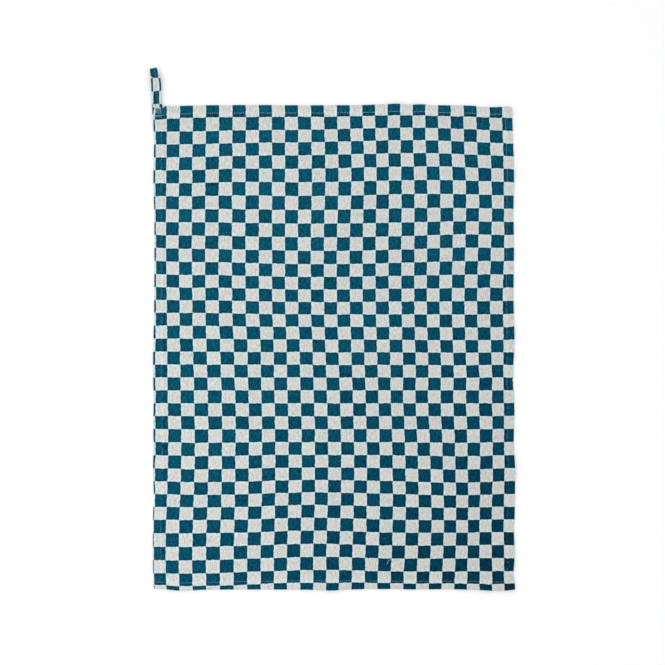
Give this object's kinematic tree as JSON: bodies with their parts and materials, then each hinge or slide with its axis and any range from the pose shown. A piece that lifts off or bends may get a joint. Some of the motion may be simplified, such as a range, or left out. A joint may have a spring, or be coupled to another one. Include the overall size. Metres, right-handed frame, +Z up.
{
  "type": "tea towel",
  "caption": "Rectangular checked cotton tea towel lying flat, hemmed on all sides, with a folded cloth hanging loop at its top left corner.",
  "frame": {"origin": "on the surface the towel lies on, under the middle of the towel and its loop together", "axes": "+X across the towel, +Y along it towards the edge with the loop, +Z up from the surface"},
  "size_m": [0.528, 0.7562, 0.008],
  "materials": {
    "checked_cotton": "matte double-woven cotton in teal and off-white squares",
    "checked_tape": "the same checked cotton folded to a narrow tape",
    "sewing_thread": "pale matte sewing thread"
  },
  "bodies": {
    "root": {"towel_cloth": "checked_cotton", "hang_loop": "checked_tape"}
  },
  "joints": []
}
